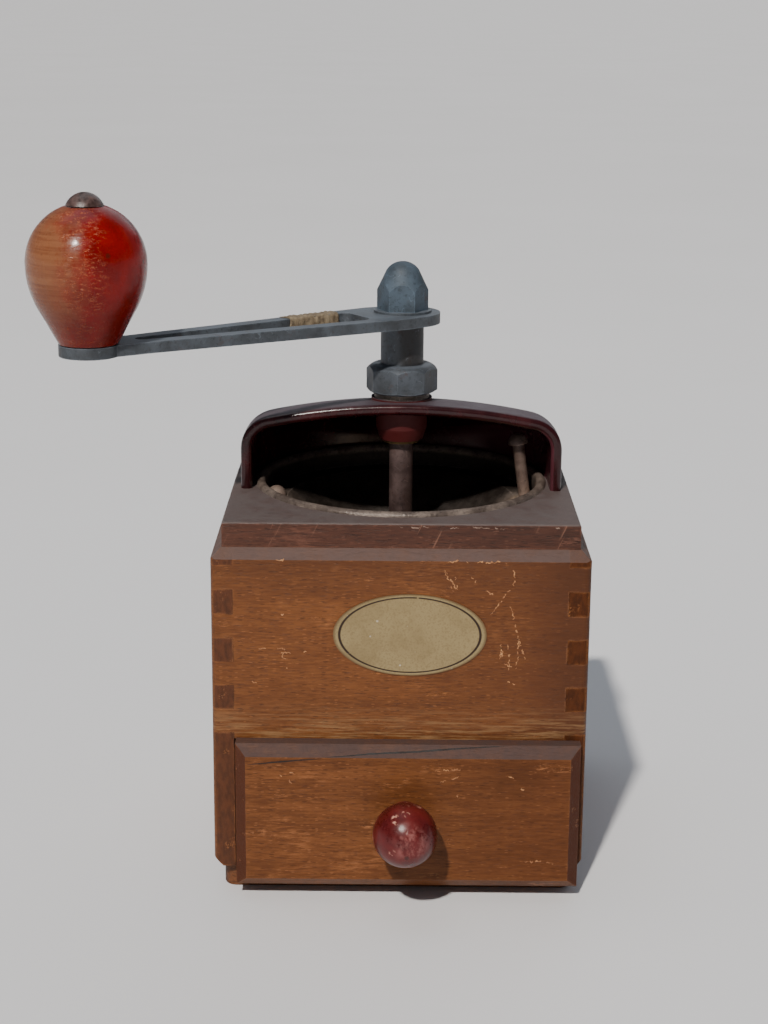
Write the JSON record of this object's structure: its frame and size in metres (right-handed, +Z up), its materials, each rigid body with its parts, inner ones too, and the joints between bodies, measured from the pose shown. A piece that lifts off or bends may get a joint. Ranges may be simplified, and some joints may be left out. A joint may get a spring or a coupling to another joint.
{
  "type": "hand crank coffee grinder",
  "caption": "Wooden box coffee grinder with a crank and round knob on top, an arched hood over an open hopper, an adjustable conical burr set and a drawer for the grounds.",
  "frame": {"origin": "centre of the base board's underside", "axes": "+Z up along the shaft, -Y towards the drawer front, +X to the right seen from the front"},
  "size_m": [0.1732, 0.1504, 0.2273],
  "materials": {
    "case_wood": "worn satin varnish",
    "drawer_wood": "worn satin varnish",
    "drawer_box_wood": "bare",
    "label_metal": "bare satin gold",
    "hood_plastic": "dusty gloss burgundy",
    "bowl_steel": "worn dark enamel",
    "crank_steel": "tarnished",
    "bolt_steel": "dusty and rusted",
    "cast_iron": "as cast",
    "bush_brass": "oiled",
    "tan_tape": "matte",
    "knob_lacquer": "worn red lacquer",
    "rivet_paint": "satin brown"
  },
  "bodies": {
    "case": {"base_board": "case_wood", "base_nails": "crank_steel", "left_side": "case_wood", "right_side": "case_wood", "front_panel": "case_wood", "back_panel": "case_wood", "top_board": "case_wood", "label_plate": "label_metal", "hopper_bowl": "bowl_steel", "hood": "hood_plastic", "hood_screws": "crank_steel", "mechanism_bolts": "bolt_steel", "mechanism_nuts": "crank_steel", "burr_housing": "cast_iron", "burr_ring": "cast_iron", "lower_bridge": "cast_iron", "bridge_screws": "crank_steel", "shaft_bush": "bush_brass", "thrust_washer": "crank_steel"},
    "crank": {"crank_arm": "crank_steel", "arm_wrap": "tan_tape", "arm_washer": "crank_steel", "cap_nut": "crank_steel", "knob_spindle": "rivet_paint"},
    "adjuster": {"adjusting_nut": "crank_steel"},
    "shaft": {"drive_shaft": "crank_steel", "cone_burr": "cast_iron", "cone_pin": "crank_steel"},
    "knob": {"crank_knob": "knob_lacquer"},
    "drawer": {"drawer_front": "drawer_wood", "drawer_left_side": "drawer_box_wood", "drawer_right_side": "drawer_box_wood", "drawer_back": "drawer_box_wood", "drawer_bottom": "drawer_box_wood", "drawer_knob": "knob_lacquer", "drawer_knob_screw": "crank_steel"}
  },
  "joints": [
    {"name": "crank_turn", "type": "hinge", "parent": "case", "child": "crank", "pos_m": [0, 0, 0.18], "axis": [0, 0, 1], "continuous": true},
    {"name": "knob_spin", "type": "hinge", "parent": "crank", "child": "knob", "pos_m": [-0.09497, -0.06503, 0.2], "axis": [0, 0, 1], "continuous": true},
    {"name": "nut_turn", "type": "hinge", "parent": "crank", "child": "adjuster", "pos_m": [0, 0, 0.16], "axis": [0, 0, 1], "range_deg": [-180, 180]},
    {"name": "grind_lift", "type": "slide", "parent": "crank", "child": "shaft", "axis": [0, 0, 1], "range_m": [-0.00063, 0.00063]},
    {"name": "drawer_slide", "type": "slide", "parent": "case", "child": "drawer", "axis": [0, -1, 0], "range_m": [0, 0.09]}
  ],
  "couplings": [
    {"joint": "grind_lift", "follows": "nut_turn", "m_per_rad": 0.00019894}
  ]
}
